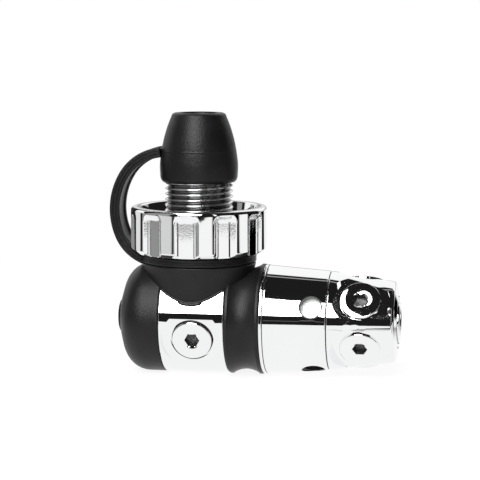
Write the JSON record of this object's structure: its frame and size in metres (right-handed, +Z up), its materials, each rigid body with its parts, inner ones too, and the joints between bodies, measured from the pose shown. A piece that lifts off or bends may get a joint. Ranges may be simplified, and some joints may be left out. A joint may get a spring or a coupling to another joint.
{
  "type": "scuba regulator first stage",
  "caption": "Chrome piston first stage for a scuba regulator, with a swivel hose turret, a fluted handwheel on a threaded inlet, and a strapped dust cap.",
  "frame": {"origin": "on the inlet's axis, in the plane of the handwheel's upper rim, inside the length of the inlet thread", "axes": "+Z up along the inlet thread, the way the cap comes off; +X along the barrel towards the turret; -Y is the front, with the first high-pressure port"},
  "size_m": [0.0972, 0.0458, 0.0875],
  "materials": {
    "chrome_plated_brass": "polished",
    "bright_thread_metal": "satin",
    "bright_steel": "satin",
    "spring_steel": "satin",
    "plain_brass": "satin",
    "sintered_bronze": "matte",
    "black_rubber": "satin",
    "strap_rubber": "satin",
    "seal_rubber": "satin",
    "white_plastic": "satin"
  },
  "bodies": {
    "regulator": {"main_body": "chrome_plated_brass", "end_bumper": "black_rubber", "barrel_collar": "black_rubber", "port_saddle": "black_rubber", "seat_plug": "plain_brass", "seat_plug_seal": "seal_rubber", "high_pressure_seat": "white_plastic", "stem_seal": "seal_rubber", "stem_bushing": "white_plastic", "spring_washer": "bright_steel", "main_spring": "spring_steel", "insulating_bushing": "white_plastic", "ambient_chamber": "chrome_plated_brass", "chamber_neck_seal": "seal_rubber", "turret_bolt": "chrome_plated_brass", "turret_bolt_seal": "seal_rubber", "high_pressure_plugs": "chrome_plated_brass", "high_pressure_plug_seals": "seal_rubber", "end_port_plug": "chrome_plated_brass", "end_port_seal": "seal_rubber", "inlet_retainer": "bright_thread_metal", "retainer_seal": "seal_rubber", "thrust_washer": "white_plastic", "inlet_filter": "sintered_bronze", "filter_circlip": "spring_steel", "inlet_seal": "seal_rubber"},
    "turret": {"turret": "chrome_plated_brass", "low_pressure_plugs": "chrome_plated_brass", "low_pressure_plug_seals": "seal_rubber"},
    "piston": {"piston": "bright_steel", "piston_seal": "seal_rubber"},
    "handwheel": {"handwheel": "chrome_plated_brass", "din_coupling": "bright_thread_metal"},
    "strap": {"strap_ring": "strap_rubber", "strap": "strap_rubber"},
    "cap": {"dust_cap": "strap_rubber"}
  },
  "joints": [
    {"name": "turret_swivel", "type": "hinge", "parent": "regulator", "child": "turret", "pos_m": [0.0555, 0, -0.0378], "axis": [1, 0, 0], "continuous": true},
    {"name": "piston_slide", "type": "slide", "parent": "regulator", "child": "piston", "axis": [-1, 0, 0], "range_m": [0, 0.00095], "stiffness_N_per_m": 4000, "deforming": ["main_spring"]},
    {"name": "handwheel_spin", "type": "hinge", "parent": "regulator", "child": "handwheel", "pos_m": [0, 0, -0.006], "axis": [0, 0, 1], "continuous": true},
    {"name": "strap_turn", "type": "hinge", "parent": "regulator", "child": "strap", "pos_m": [0, 0, -0.016], "axis": [0, 0, 1], "continuous": true},
    {"name": "cap_pull_off", "type": "slide", "parent": "strap", "child": "cap", "axis": [0, 0, 1], "range_m": [0, 0.02]}
  ]
}
